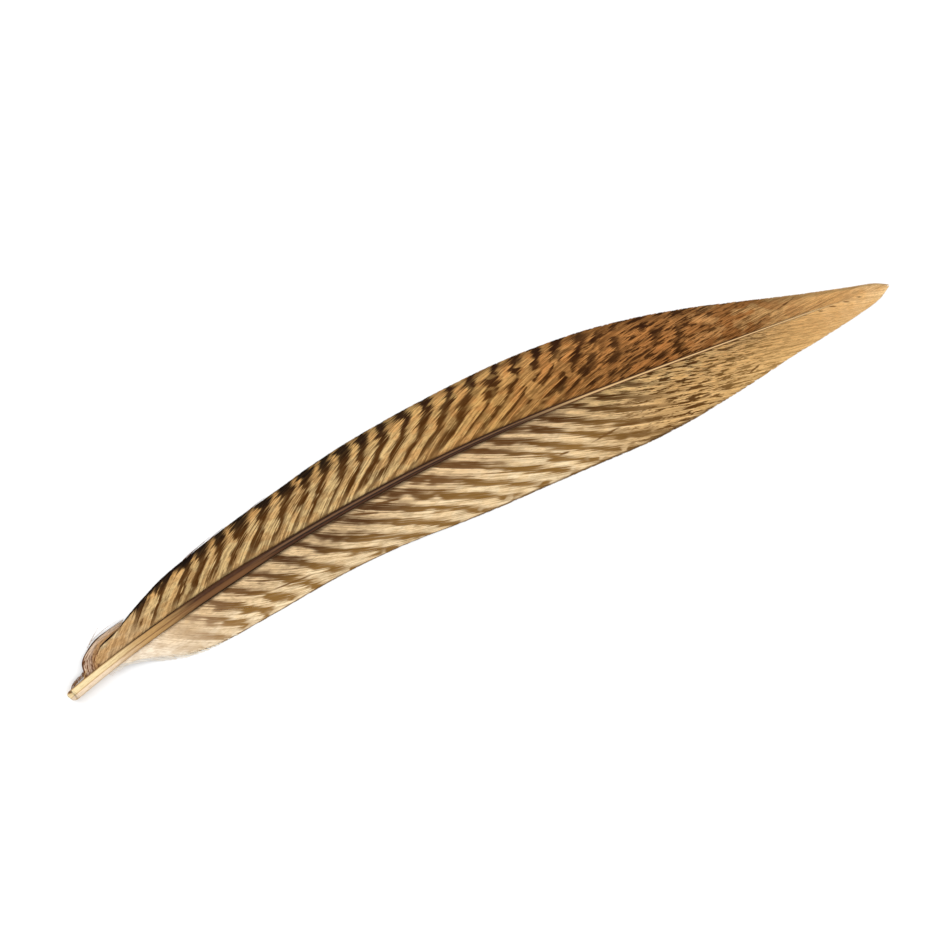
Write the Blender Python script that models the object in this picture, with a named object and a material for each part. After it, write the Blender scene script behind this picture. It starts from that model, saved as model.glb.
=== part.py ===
"""A barred pheasant tail feather, cut through the quill, lying top side up.

The feather is one natural piece, so it is one closed solid. It is lofted from rings that
follow the barbs: each ring runs up one barb of the outer vane, round the shaft, and out
along one barb of the inner vane. Sizes are in millimetres until the mesh is made. The row
frame has +X from the cut quill to the tip, +Y to the outer vane and +Z up, with the origin
on the surface under the middle of the feather.
"""

import math

import bmesh
import bpy
import numpy as np

MM = 0.001

# The shaft's line, as (distance from the cut, heading in degrees from +X).
SHAFT_HEADINGS = [
    (0, 13.6), (20, 9.8), (40, 7.0), (60, 4.1), (85, 1.1), (110, -2.7), (140, -6.0), (175, -6.9),
    (202, -8.3),
]
CUT_END = (-99.171, -8.092)
FEATHER_LENGTH = 201.3
LINE_STEP = 0.5

# The shaft's section, as (distance from the cut, size). The barbs leave it above its middle.
SHAFT_WIDTHS = [
    (0, 2.6), (30, 2.45), (45, 2.2), (60, 1.75), (90, 1.4), (130, 0.95), (170, 0.55), (201, 0.28),
]
HEIGHT_PER_WIDTH = 0.92
BARB_LINE = 0.68
TOP_FLAT = 0.30
BELLY_FLAT = 0.31
BELLY_SIDE = 0.47
BELLY_RISE = 0.45

# The quill is cut askew: the cut runs back by these amounts for each mm to the side and up.
CUT_BACK_SIDEWAYS = -0.22
CUT_BACK_UPWARDS = 0.9

# The shaft lies on the surface at its base, then arches and comes down again at the tip.
ARCH_START = 26.0
ARCH_HEIGHT = 2.6

# Each vane's edge, as (distance along the shaft's line, distance from it).
OUTER_EDGE = [
    (0, 1.6), (4.5, 3.0), (7, 5.3), (10, 6.6), (13.5, 6.9), (18.5, 6.35), (24, 7.4), (31, 8.8),
    (40, 9.6), (50, 10.35), (61, 11.15), (70, 12.1), (79, 12.7), (97, 13.4), (118, 14.0),
    (132, 13.7), (145, 12.35), (158, 10.1), (167, 8.05), (175, 6.15), (184, 4.15), (193, 2.35),
    (198, 1.45), (201.3, 0.12),
]
INNER_EDGE = [
    (0, 1.5), (11, 1.55), (16, 3.2), (20, 5.6), (24, 8.0), (29, 9.7), (36, 10.9), (50, 11.8),
    (64, 12.15), (79, 13.05), (97, 14.85), (108, 15.3), (123, 15.2), (138, 14.8), (149, 13.65),
    (158, 12.0), (167, 10.1), (175, 8.1), (184, 6.2), (193, 4.0), (198, 2.4), (201.3, 0.12),
]

# Where a barb that leaves the shaft at the first distance ends, along the shaft's line.
OUTER_BARBS = [
    (0, 0.4), (3, 5), (5, 8), (8, 13), (12, 19), (20, 31), (40, 61), (80, 105), (120, 145),
    (150, 172), (175, 190), (192, 199), (201.3, 201.3),
]
INNER_BARBS = [
    (0, 0.4), (10.2, 11), (14, 17), (18.5, 26), (26, 42), (40, 66), (80, 112), (115, 147),
    (145, 172), (172, 190), (192, 199), (201.3, 201.3),
]
# A barb bends towards the tip at this share of its reach, by these shares of its run at each root.
BARB_TURN = 0.62
BARB_BENDS = [(0, 0), (14, 0.02), (36, 0.5), (201.3, 0.5)]

# The barbs cling together in locks with a low ridge each. Barbs between locks stop this share short.
LOCKS = 58
LOCK_RIDGE = 0.34
LOCK_NOTCH = 0.045
NARROWEST_VANE = 0.15
WIDE_VANE = 8.0
BARB_POINTS = 6

# A tuft of bent barbs stands up on the outer vane near the base.
TUFT_STATION = 12.0
TUFT_LENGTH = 6.0
TUFT_HEIGHT = 0.7

# The vanes are thin sheets that swell a little beside the shaft and droop to the surface.
ROOT_THICKNESS = 0.42
EDGE_THICKNESS = 0.24
VANE_SWELL = 0.55
DROOP_POWER = 1.7
STEEPEST_DROOP = 0.3
EDGE_LIFT = 0.02

# Its finishes, in the order that SHAFT, OUTER and INNER count them, and its smoothing.
SHAFT, OUTER, INNER = range(3)
FINISHES = [
    ("horny_shaft", (0.24, 0.14, 0.07), 0.42),
    ("golden_outer_vane", (0.42, 0.25, 0.10), 0.62),
    ("pale_inner_vane", (0.50, 0.38, 0.22), 0.62),
]
SMOOTH_BELOW_DEGREES = 35


def through(points, at):
    """Values at these stations of a smooth curve through (station, value) points, with no overshoot."""
    x, y = np.array(points, float).T
    at = np.asarray(at, float)
    step = np.diff(x)
    rise = np.diff(y) / step
    product = rise[:-1] * rise[1:]
    total = np.where(product > 0, rise[:-1] + rise[1:], 1)
    middle = np.where(product > 0, 2 * product / total, 0)
    slope = np.concatenate([rise[:1], middle, rise[-1:]])
    i = np.clip(np.searchsorted(x, at) - 1, 0, len(step) - 1)
    t = np.clip((at - x[i]) / step[i], 0, 1)
    swing_out = slope[i] * step[i] * t * (1 - t) ** 2
    swing_in = slope[i + 1] * step[i] * t**2 * (t - 1)
    return y[i] + (y[i + 1] - y[i]) * t**2 * (3 - 2 * t) + swing_out + swing_in


def shaft_line():
    """Stations along the feather, with the line's points and its sideways directions there."""
    stations = np.arange(0, FEATHER_LENGTH + LINE_STEP, LINE_STEP)
    heading = np.radians(through(SHAFT_HEADINGS, stations))
    ahead = np.stack([np.cos(heading), np.sin(heading)], 1)
    steps = (ahead[:-1] + ahead[1:]) / 2 * LINE_STEP
    points = np.array(CUT_END) + np.concatenate([np.zeros((1, 2)), np.cumsum(steps, axis=0)])
    sideways = np.stack([-ahead[:, 1], ahead[:, 0]], 1)
    return stations, points, sideways


def arch(s):
    """How far the shaft's belly is off the surface."""
    share = np.clip((s - ARCH_START) / (FEATHER_LENGTH - ARCH_START), 0, 1)
    return ARCH_HEIGHT * np.sin(math.pi * share) ** 2


def barb_line_height(s):
    """Height of the line on the shaft's sides that the barbs leave from."""
    return arch(s) + BARB_LINE * HEIGHT_PER_WIDTH * through(SHAFT_WIDTHS, s)


def vane_height(s, across, width):
    """Height of a vane's middle surface, at a share of the way across a vane of this width."""
    line = barb_line_height(s)
    resting = EDGE_THICKNESS / 2 + EDGE_LIFT
    drop = np.minimum(line - resting, STEEPEST_DROOP * width)
    swell = VANE_SWELL * np.sin(math.pi * across) * np.sin(math.pi * s / FEATHER_LENGTH)
    return line - drop * across**DROOP_POWER + swell


def tuft_height(tip):
    """How far the tuft lifts the middle of an outer barb that ends here."""
    return TUFT_HEIGHT * math.exp(-(((tip - TUFT_STATION) / TUFT_LENGTH) ** 2))


def barb(root, edge, barbs, crown):
    """Points (s, v, z, half thickness) along the barb that leaves the shaft at root.

    s runs along the shaft's line, v out from it and z up from the surface.

    crown is 1 along the ridge of a lock and 0 in the groove between two locks.
    """
    start = 0.5 * through(SHAFT_WIDTHS, root)
    start_at_quill = 0.5 * SHAFT_WIDTHS[0][1]
    tip = through(barbs, root)
    reach = max(through(edge, tip), start + NARROWEST_VANE)
    turn = start + BARB_TURN * (reach - start)
    turn_s = root + BARB_TURN * (tip - root) * (1 - through(BARB_BENDS, root))
    t = np.linspace(0, 1 - LOCK_NOTCH * (1 - crown), BARB_POINTS)
    s = (1 - t) ** 2 * root + 2 * t * (1 - t) * turn_s + t**2 * tip
    v = (1 - t) ** 2 * start + 2 * t * (1 - t) * turn + t**2 * reach
    across = (v - start) / (reach - start)
    bulge = np.sin(math.pi * across)
    height = vane_height(s, across, reach - start)
    height = height + LOCK_RIDGE * crown * bulge * min(1, reach / WIDE_VANE)
    if barbs is OUTER_BARBS:
        height = height + tuft_height(tip) * bulge**2
    thick = EDGE_THICKNESS + (ROOT_THICKNESS - EDGE_THICKNESS) * start / start_at_quill
    half = (thick + (EDGE_THICKNESS - thick) * across) / 2
    return np.stack([s, v, height, half], 1)


def ring(root, crown):
    """One closed ring of (s, v, z) points: out along both barbs and round the shaft between them."""
    outer = barb(root, OUTER_EDGE, OUTER_BARBS, crown)
    inner = barb(root, INNER_EDGE, INNER_BARBS, crown)
    width = float(through(SHAFT_WIDTHS, root))
    low = float(arch(root))
    high = low + HEIGHT_PER_WIDTH * width
    under_barbs = float(outer[0, 2] - outer[0, 3])
    side = low + BELLY_RISE * (under_barbs - low)
    top = [(root, v * width, high) for v in (TOP_FLAT, 0, -TOP_FLAT)]
    belly_across = (-BELLY_SIDE, -BELLY_FLAT, BELLY_FLAT, BELLY_SIDE)
    belly = [(root, v * width, z) for v, z in zip(belly_across, (side, low, low, side))]
    upper_outer = [(s, v, z + half) for s, v, z, half in outer[::-1]]
    upper_inner = [(s, -v, z + half) for s, v, z, half in inner]
    under_inner = [(s, -v, z - half) for s, v, z, half in inner[::-1]]
    under_outer = [(s, v, z - half) for s, v, z, half in outer]
    return np.array(upper_outer + top + upper_inner + under_inner + belly + under_outer, float)


def cut_askew(points):
    """Slides a ring's points along the shaft on to the slanting plane of the knife cut."""
    cut = points.copy()
    middle_height = points[:, 2].mean()
    cut[:, 0] = CUT_BACK_SIDEWAYS * points[:, 1] + CUT_BACK_UPWARDS * (points[:, 2] - middle_height)
    return cut


def in_row_frame(points, line):
    """(s, v, z) in millimetres beside the bent shaft, as x, y, z in metres."""
    stations, centres, sideways = line
    s = points[:, 0]
    before = np.minimum(s, 0)
    x, y = (np.interp(s, stations, centres[:, k]) for k in (0, 1))
    side_x, side_y = (np.interp(s, stations, sideways[:, k]) for k in (0, 1))
    x = x + side_y * before + side_x * points[:, 1]
    y = y - side_x * before + side_y * points[:, 1]
    return np.stack([x, y, points[:, 2]], 1) * MM


def ring_sides():
    """The finish of each side of a ring, and whether that side runs in towards the shaft."""
    outer_in, outer_out = (OUTER, True), (OUTER, False)
    inner_in, inner_out = (INNER, True), (INNER, False)
    top, belly = (SHAFT, True), (SHAFT, False)
    sheet = BARB_POINTS - 1
    above = [outer_in] * sheet + [top] * 4 + [inner_out] * sheet
    below = [inner_in] * (sheet + 1) + [belly] * 5 + [outer_out] * (sheet + 1)
    return above + below


def loft(rings, sides):
    """A closed mesh from rings of equal length, with both ends filled.

    Each side is split along the diagonal that leans with the barbs, so that the upper and
    the under face of a vane stay parallel.
    """
    shape = bmesh.new()
    loops = [[shape.verts.new(point) for point in points] for points in rings]
    for near, far in zip(loops, loops[1:]):
        for k, (finish, inwards) in enumerate(sides):
            after = (k + 1) % len(sides)
            if inwards:
                corners = (near[k], far[k], far[after]), (near[k], far[after], near[after])
            else:
                corners = (near[k], far[k], near[after]), (far[k], far[after], near[after])
            for triangle in corners:
                shape.faces.new(triangle).material_index = finish
    for end in (loops[0], loops[-1][::-1]):
        shape.faces.new(end).material_index = SHAFT
    bmesh.ops.triangulate(shape, faces=shape.faces[:])
    bmesh.ops.recalc_face_normals(shape, faces=shape.faces[:])
    mesh = bpy.data.meshes.new("feather")
    shape.to_mesh(mesh)
    shape.free()
    return mesh


def keratin(name, colour, roughness):
    """One finish of the feather, as it looks from a step away."""
    material = bpy.data.materials.new(name)
    material.use_nodes = True
    shader = material.node_tree.nodes["Principled BSDF"]
    shader.inputs["Base Color"].default_value = (*colour, 1)
    shader.inputs["Roughness"].default_value = roughness
    shader.inputs["Metallic"].default_value = 0
    return material


def build_feather():
    line = shaft_line()
    roots = np.linspace(0, FEATHER_LENGTH, 2 * LOCKS + 1)
    rings = [ring(root, i % 2) for i, root in enumerate(roots)]
    rings[0] = cut_askew(rings[0])
    mesh = loft([in_row_frame(points, line) for points in rings], ring_sides())
    for name, colour, roughness in FINISHES:
        mesh.materials.append(keratin(name, colour, roughness))
    mesh.shade_smooth()
    mesh.set_sharp_from_angle(angle=math.radians(SMOOTH_BELOW_DEGREES))
    feather = bpy.data.objects.new("feather", mesh)
    bpy.context.scene.collection.objects.link(feather)


for old in list(bpy.data.objects):
    bpy.data.objects.remove(old)
build_feather()
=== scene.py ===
"""A barred pheasant tail feather, lying top side up on a pale table and seen from above.

The sections follow the feather as it grows: the horny shaft, the golden outer vane, the cream
inner vane, the crumpled tuft and the down at the quill, and the stray barbs. Each vane is
several hundred real barbs. Sizes are in millimetres until a mesh is made.
"""

import math

import bmesh
import bpy
import numpy as np
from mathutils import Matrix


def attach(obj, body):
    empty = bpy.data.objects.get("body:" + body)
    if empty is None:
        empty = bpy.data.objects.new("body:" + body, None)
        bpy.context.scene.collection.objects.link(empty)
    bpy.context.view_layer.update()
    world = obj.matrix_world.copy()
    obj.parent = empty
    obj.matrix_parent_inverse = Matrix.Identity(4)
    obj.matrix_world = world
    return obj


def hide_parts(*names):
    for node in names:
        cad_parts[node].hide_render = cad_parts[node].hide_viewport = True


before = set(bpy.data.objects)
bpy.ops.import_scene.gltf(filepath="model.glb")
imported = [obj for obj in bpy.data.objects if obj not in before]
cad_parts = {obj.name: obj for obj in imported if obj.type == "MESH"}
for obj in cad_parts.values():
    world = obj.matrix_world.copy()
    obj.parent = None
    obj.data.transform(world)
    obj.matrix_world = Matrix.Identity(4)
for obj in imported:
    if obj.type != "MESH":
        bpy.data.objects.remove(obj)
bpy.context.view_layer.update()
scene = bpy.context.scene

# The shaft
# One horny stem that carries both vanes. It is a cream hollow quill where it was cut, turns
# brown and then nearly black with a groove along its top, and ends as a pale hair line.
MM = 0.001
FEATHER_LENGTH = 201.3
LINE_STEP = 0.25
CUT_END = (-99.171, -8.092)
SHAFT_HEADINGS = [
    (0, 13.6), (20, 9.8), (40, 7.0), (60, 4.1), (85, 1.1), (110, -2.7), (140, -6.0), (175, -6.9),
    (202, -8.3),
]
SHAFT_WIDTHS = [
    (0, 2.6), (30, 2.45), (45, 2.3), (54, 1.85), (64, 1.7), (90, 1.4), (130, 0.95), (170, 0.55),
    (201, 0.28),
]
HEIGHT_PER_WIDTH = 0.92
BARB_LINE = 0.68
ARCH_START = 26.0
ARCH_HEIGHT = 2.6
SHAFT_END = 196.0
TAPER_START = 170.0
TAPER_END = 0.35
SHAFT_RINGS = 420
RING_CROWDING = 1.02
# Half of the shaft's section, from the groove on top to the belly, as shares of width and height.
SHAFT_SECTION = [
    (0.0, 0.955), (0.07, 0.965), (0.15, 0.995), (0.24, 1.0), (0.33, 0.96), (0.42, 0.86),
    (0.48, 0.72), (0.5, 0.56), (0.48, 0.4), (0.42, 0.22), (0.33, 0.07), (0.22, 0.0), (0.0, 0.0),
]
GROOVE_SHIFT = -0.06
QUILL_CUT = {"sideways": -0.22, "upwards": 0.9}
CUT_REACH = 3.0
QUILL_WALL = 0.24
PITH_DEPTH = 0.5
BUMP_STRENGTH = 0.4


def through(points, at):
    """A smooth curve through (station, value) points, with no overshoot, read at these stations."""
    x, y = np.array(points, float).T
    at = np.asarray(at, float)
    step = np.diff(x)
    rise = np.diff(y) / step
    product = rise[:-1] * rise[1:]
    total = np.where(product > 0, rise[:-1] + rise[1:], 1)
    middle = np.where(product > 0, 2 * product / total, 0)
    slope = np.concatenate([rise[:1], middle, rise[-1:]])
    i = np.clip(np.searchsorted(x, at) - 1, 0, len(step) - 1)
    t = np.clip((at - x[i]) / step[i], 0, 1)
    swing_out = slope[i] * step[i] * t * (1 - t) ** 2
    swing_in = slope[i + 1] * step[i] * t**2 * (t - 1)
    return y[i] + (y[i + 1] - y[i]) * t**2 * (3 - 2 * t) + swing_out + swing_in


line_s = np.arange(0, FEATHER_LENGTH + LINE_STEP, LINE_STEP)
line_heading = np.radians(through(SHAFT_HEADINGS, line_s))
line_ahead = np.stack([np.cos(line_heading), np.sin(line_heading)], 1)
line_steps = (line_ahead[:-1] + line_ahead[1:]) / 2 * LINE_STEP
line_xy = np.array(CUT_END) + np.concatenate([np.zeros((1, 2)), np.cumsum(line_steps, axis=0)])


def on_feather(s, v, z):
    """Distance along the shaft, distance out from it and height, all in mm, as x, y, z in metres."""
    s, v, z = (np.asarray(a, float) for a in np.broadcast_arrays(s, v, z))
    x, y, ahead_x, ahead_y = (
        np.interp(s, line_s, column)
        for column in (line_xy[:, 0], line_xy[:, 1], line_ahead[:, 0], line_ahead[:, 1])
    )
    beyond = np.minimum(s, 0) + np.maximum(s - line_s[-1], 0)
    return np.stack([x + ahead_x * beyond - ahead_y * v, y + ahead_y * beyond + ahead_x * v, z], -1) * MM


def arch(s):
    """How far the shaft's belly is off the table."""
    share = np.clip((s - ARCH_START) / (FEATHER_LENGTH - ARCH_START), 0, 1)
    return ARCH_HEIGHT * np.sin(math.pi * share) ** 2


def barb_line_height(s):
    """Height of the line on the shaft's sides that the barbs grow from."""
    return arch(s) + BARB_LINE * HEIGHT_PER_WIDTH * through(SHAFT_WIDTHS, s)


def in_scene(name, data):
    """An object of this mesh, lamp or camera, added to the scene."""
    made = bpy.data.objects.new(name, data)
    scene.collection.objects.link(made)
    return made


def plain_mesh(name, points, edges, faces):
    """A mesh made from points in metres."""
    mesh = bpy.data.meshes.new(name)
    mesh.from_pydata([tuple(p) for p in points], edges, faces)
    return mesh


def smooth_piece(name, mesh):
    """The mesh as a smooth piece in the scene, with its faces turned outwards."""
    shape = bmesh.new()
    shape.from_mesh(mesh)
    bmesh.ops.recalc_face_normals(shape, faces=shape.faces[:])
    shape.to_mesh(mesh)
    shape.free()
    mesh.polygons.foreach_set("use_smooth", [True] * len(mesh.polygons))
    return in_scene(name, mesh)


def write_map(mesh, name, per_vertex):
    """A UV map from one (u, v) pair for each vertex."""
    layer = mesh.uv_layers.new(name=name)
    corners = np.empty(len(mesh.loops), np.int32)
    mesh.loops.foreach_get("vertex_index", corners)
    layer.uv.foreach_set("vector", np.asarray(per_vertex, np.float32)[corners].ravel())


def tube_faces(rings, count):
    """The faces of a tube made of rings with this many points each."""
    return [
        (i * count + k, (i + 1) * count + k, (i + 1) * count + (k + 1) % count, i * count + (k + 1) % count)
        for i in range(rings - 1)
        for k in range(count)
    ]


def shaft_mesh():
    """The lofted shaft, with the wall and the pith of the quill showing in the slanting cut."""
    section = SHAFT_SECTION + [(-v, z) for v, z in SHAFT_SECTION[-2:0:-1]]
    count = len(section)
    up = np.array([z for _, z in section])
    across = np.array([v + GROOVE_SHIFT * (1 - 4 * v * v) * (z > 0.5) for v, z in section])
    stations = SHAFT_END * np.linspace(0, 1, SHAFT_RINGS) ** RING_CROWDING
    points, place = [], []
    for i, s in enumerate(stations):
        width = through(SHAFT_WIDTHS, s) * np.interp(s, [TAPER_START, SHAFT_END], [1, TAPER_END])
        height = HEIGHT_PER_WIDTH * width
        v, z = across * width, arch(s) + up * height
        back = 0
        if i == 0:
            back = QUILL_CUT["sideways"] * v + QUILL_CUT["upwards"] * (z - 0.5 * height)
        near_cut = max(0, 1 - s / CUT_REACH)
        points.extend(on_feather(s + back * near_cut, v, z))
        place.extend((s / FEATHER_LENGTH, k / count) for k in range(count))
    faces = tube_faces(SHAFT_RINGS, count)
    faces.append(tuple((SHAFT_RINGS - 1) * count + k for k in range(count)))
    rim = np.array(points[:count])
    middle = rim.mean(0)
    inward = on_feather(1.0, 0, 0) - on_feather(0.0, 0, 0)
    last = 0
    for share, depth in ((1 - QUILL_WALL, 0.0), (0.6, PITH_DEPTH * 0.8), (0.25, PITH_DEPTH)):
        start = len(points)
        points.extend(middle + (rim - middle) * share + inward * depth)
        place.extend((0.002, k / count) for k in range(count))
        faces += [
            (last + k, last + (k + 1) % count, start + (k + 1) % count, start + k) for k in range(count)
        ]
        last = start
    faces.append(tuple(last + k for k in range(count)))
    return points, faces, place, across


def attribute(mesh, name, values, kind="FLOAT"):
    """Stores one number or vector for each vertex."""
    made = mesh.attributes.new(name, kind, "POINT")
    key = "value" if kind == "FLOAT" else "vector"
    made.data.foreach_set(key, np.asarray(values, np.float32).ravel())


def new_material(name, roughness, specular):
    """A material with a Principled BSDF, and its node tree and shader."""
    material = bpy.data.materials.new(name)
    material.use_nodes = True
    tree = material.node_tree
    shader = tree.nodes["Principled BSDF"]
    shader.inputs["Roughness"].default_value = roughness
    shader.inputs["Specular IOR Level"].default_value = specular
    return material, tree, shader


def srgb(red, green, blue):
    """A colour as seen on screen, 0 to 255, as the linear colour that a shader takes."""
    shares = (c / 255 for c in (red, green, blue))
    return tuple(c / 12.92 if c <= 0.04045 else ((c + 0.055) / 1.055) ** 2.4 for c in shares) + (1.0,)


def put(tree, socket, value):
    """Feeds a socket from another socket, or sets it to a plain value."""
    if isinstance(value, bpy.types.NodeSocket):
        tree.links.new(value, socket)
    else:
        socket.default_value = value


def add(tree, kind, inputs=None, **settings):
    """Adds a node with these settings, feeds its inputs and returns its outputs."""
    node = tree.nodes.new(kind)
    for name, value in settings.items():
        setattr(node, name, value)
    for name, value in (inputs or {}).items():
        put(tree, node.inputs[name], value)
    return node.outputs


def calc(tree, operation, a, b=0.0, clamp=False):
    """A math node of two values."""
    return add(tree, "ShaderNodeMath", {0: a, 1: b}, operation=operation, use_clamp=clamp)[0]


def times(tree, *values):
    """The product of several values."""
    product = values[0]
    for value in values[1:]:
        product = calc(tree, "MULTIPLY", product, value)
    return product


def plus(tree, *values):
    """The sum of several values."""
    total = values[0]
    for value in values[1:]:
        total = calc(tree, "ADD", total, value)
    return total


def fade(tree, value, start, end, low=0.0, high=1.0):
    """A smooth step of a value between two stations, from low to high."""
    given = {"Value": value, "From Min": start, "From Max": end, "To Min": low, "To Max": high}
    return add(tree, "ShaderNodeMapRange", given, interpolation_type="SMOOTHSTEP")["Result"]


def blend(tree, share, a, b):
    """A mix of two colours."""
    return add(tree, "ShaderNodeMix", {"Factor": share, "A": a, "B": b}, data_type="RGBA")["Result"]


def joined(tree, x, y, z=0.0):
    """Three numbers as a vector."""
    return add(tree, "ShaderNodeCombineXYZ", {"X": x, "Y": y, "Z": z})["Vector"]


def noise(tree, x, y, scales, detail=2.0, roughness=0.5):
    """A 2D noise of two coordinates times their scales, about 0.5 in the middle."""
    place = joined(tree, times(tree, x, scales[0]), times(tree, y, scales[1]))
    given = {"Vector": place, "Scale": 1.0, "Detail": detail, "Roughness": roughness}
    return add(tree, "ShaderNodeTexNoise", given, noise_dimensions="2D")["Fac"]


def jitter(tree, value, amount):
    """A value about 0.5, centred on 0 and scaled."""
    return times(tree, calc(tree, "SUBTRACT", value, 0.5), amount)


def read(tree, name):
    """The piece's own attribute, as its Vector and Fac sockets."""
    made = add(tree, "ShaderNodeAttribute", attribute_name=name)
    return made["Vector"], made["Fac"]


def parts_of(tree, vector):
    """The three numbers of a vector."""
    made = add(tree, "ShaderNodeSeparateXYZ", {"Vector": vector})
    return made["X"], made["Y"], made["Z"]


def bump(tree, shader, height, distance):
    """Faint relief from a height value, over this distance in mm."""
    given = {"Height": height, "Strength": BUMP_STRENGTH, "Distance": distance * MM}
    put(tree, shader.inputs["Normal"], add(tree, "ShaderNodeBump", given)["Normal"])


def ramp(tree, value, stops):
    """A colour ramp through (place, colour) stops."""
    node = tree.nodes.new("ShaderNodeValToRGB")
    elements = node.color_ramp.elements
    while len(elements) < len(stops):
        elements.new(0.5)
    for element, (place, colour) in zip(elements, stops):
        element.position = place
        element.color = colour
    put(tree, node.inputs["Fac"], value)
    return node.outputs["Color"]


QUILL_CREAM, QUILL_PINK, QUILL_TAN = srgb(226, 204, 158), srgb(222, 200, 172), srgb(176, 138, 86)
HORN_BROWN, HORN_DARK, HORN_BLACK = srgb(100, 66, 36), srgb(60, 34, 18), srgb(22, 11, 6)
RIDGE_BROWN, HAIR_LINE, HAIR_EDGE = srgb(102, 73, 50), srgb(206, 172, 122), srgb(112, 74, 42)


def horn_finish():
    """Horn that turns from cream to nearly black, and to a pale line towards the tip."""
    material, tree, shader = new_material("horny shaft", 0.45, 0.1)
    s, across, _ = parts_of(tree, read(tree, "shaft_place")[0])
    grain = noise(tree, s, across, (0.22, 9.0), 3.0)
    at = plus(tree, s, jitter(tree, grain, 9.0))
    # From the lower edge to the upper edge, as the section changes along the feather.
    side = plus(tree, across, 0.5)
    # The dark lines along both edges of the shaft, and the black line beside the pale hair line towards the
    # tip, are partly the horn's own dark colour and partly painted shadow beside the raised shaft.
    colour = ramp(tree, side, [
        (0.0, QUILL_TAN), (0.07, QUILL_PINK), (0.36, QUILL_PINK), (0.42, QUILL_TAN), (0.48, QUILL_CREAM),
        (0.86, QUILL_CREAM), (0.94, QUILL_TAN), (1.0, HORN_BROWN),
    ])
    for start, end, stops in (
        (7, 22, [
            (0.0, HORN_BROWN), (0.08, QUILL_TAN), (0.36, QUILL_TAN), (0.42, HORN_BROWN), (0.5, QUILL_TAN),
            (0.85, QUILL_TAN), (0.93, HORN_DARK), (1.0, HORN_BLACK),
        ]),
        (20, 36, [
            (0.06, HORN_BLACK), (0.14, HORN_BROWN), (0.5, HORN_BROWN), (0.62, HORN_DARK),
            (1.0, HORN_DARK),
        ]),
        (46, 58, [
            (0.0, HORN_BLACK), (0.12, HORN_DARK), (0.26, HORN_DARK), (0.36, HORN_BLACK), (0.46, HORN_BLACK),
            (0.56, RIDGE_BROWN), (0.68, RIDGE_BROWN), (0.8, HORN_BLACK), (1.0, HORN_DARK),
        ]),
        (112, 136, [
            (0.0, HORN_BROWN), (0.2, HAIR_EDGE), (0.34, HAIR_LINE), (0.58, HAIR_LINE), (0.7, HAIR_EDGE),
            (0.83, HORN_BLACK), (1.0, HORN_BROWN),
        ]),
    ):
        colour = blend(tree, fade(tree, at, start, end), colour, ramp(tree, side, stops))
    colour = blend(tree, fade(tree, at, 168, 184), colour, HAIR_LINE)
    fine = noise(tree, s, across, (0.8, 26.0), 3.0)
    grained = times(tree, fade(tree, fine, 0.42, 0.72), 0.3)
    colour = blend(tree, grained, colour, HORN_BROWN)
    put(tree, shader.inputs["Base Color"], colour)
    put(tree, shader.inputs["Roughness"], fade(tree, fine, 0.3, 0.7, 0.36, 0.52))
    bump(tree, shader, fine, 0.04)
    return material


points, faces, place, across = shaft_mesh()
shaft = smooth_piece("shaft", plain_mesh("shaft", points, [], faces))
write_map(shaft.data, "OFBake", place)
shaft_place = [(share * FEATHER_LENGTH, across[i % len(across)], 0) for i, (share, _) in enumerate(place)]
attribute(shaft.data, "shaft_place", shaft_place, "FLOAT_VECTOR")
shaft.data.materials.append(horn_finish())
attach(shaft, "root")
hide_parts("feather")

# The outer vane
# The narrow golden vane on the feather's left. Its barbs grow from the shaft's side, lean
# towards the tip and lap over each other like reeds, and its black bars fade inwards.
OUTER_EDGE = [
    (6, 3.0), (9.5, 4.4), (11.5, 4.8), (15, 5.1), (17.5, 5.6), (20, 6.3), (24, 7.3), (31, 8.7),
    (40, 9.5), (50, 10.3), (61, 11.1), (70, 12.0), (79, 12.65), (97, 13.35), (118, 13.95),
    (132, 13.6), (145, 12.3), (158, 10.05), (167, 8.0), (175, 6.1), (184, 4.1), (193, 2.35),
    (198, 1.45), (201.3, 0.1),
]
OUTER_BARBS = [
    (4.0, 7.0), (8, 13), (12, 19), (20, 31), (40, 62), (80, 108), (120, 153), (150, 177),
    (175, 192), (192, 199.2), (200.4, 201.3),
]
BARB_START = 0.49
BARB_TURN = 0.68
SHORTEST_BARB = 0.12
BARB_BENDS = [(0, 0), (14, 0.02), (36, 0.5), (85, 0.46), (130, 0.32), (201.3, 0.3)]
VANE_SWELL = 0.5
DROOP_POWER = 1.7
STEEPEST_DROOP = 0.3
EDGE_REST = 0.12
LOCKS_PER_MM = 0.29
LOCK_RIDGE = 0.2
LOCK_FULL_REACH = 8.0
# Near the tip both vanes close over the shaft: from where, over what length, and by how much.
CLOSE_START = 182.0
CLOSE_LENGTH = 14.0
CLOSE_LAP = 0.05
BARB_SPACING = 0.42
BARB_SEGMENTS = 22
BARB_THINNING = 0.55
SHEET_POINTS = 36
# How far inside the guide sheet's rim the barbs stay, as shares of its sides and of its ends.
SIDE_RIM = 0.0002
END_RIM = 0.0005
# One barb's section, as shares of the spacing across and mm up: a ridge, then a web that tucks
# under the next barb.
BARB_SECTION = [(0.0, 0.03), (0.16, 0.065), (0.36, 0.03), (1.3, -0.035), (1.3, -0.06), (0.0, -0.05)]
# The bars' centres along the outer edge, and how far they fall back towards the shaft.
OUTER_BARS = [
    17.5, 23.7, 30.6, 37.2, 41.6, 46.2, 51.4, 57.4, 63.6, 68.6, 73.2, 78.4, 82.8, 87.4, 92.6, 98.0,
    103.4, 108.6, 114.2, 119.6, 124.0, 128.6, 134.0, 139.6, 145.4, 151.0, 157.0,
]
OUTER_LEANS = [(0, 11.5, 1.6), (62, 11.5, 1.6), (84, 17.0, 2.0), (201, 17.0, 2.0)]
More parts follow.
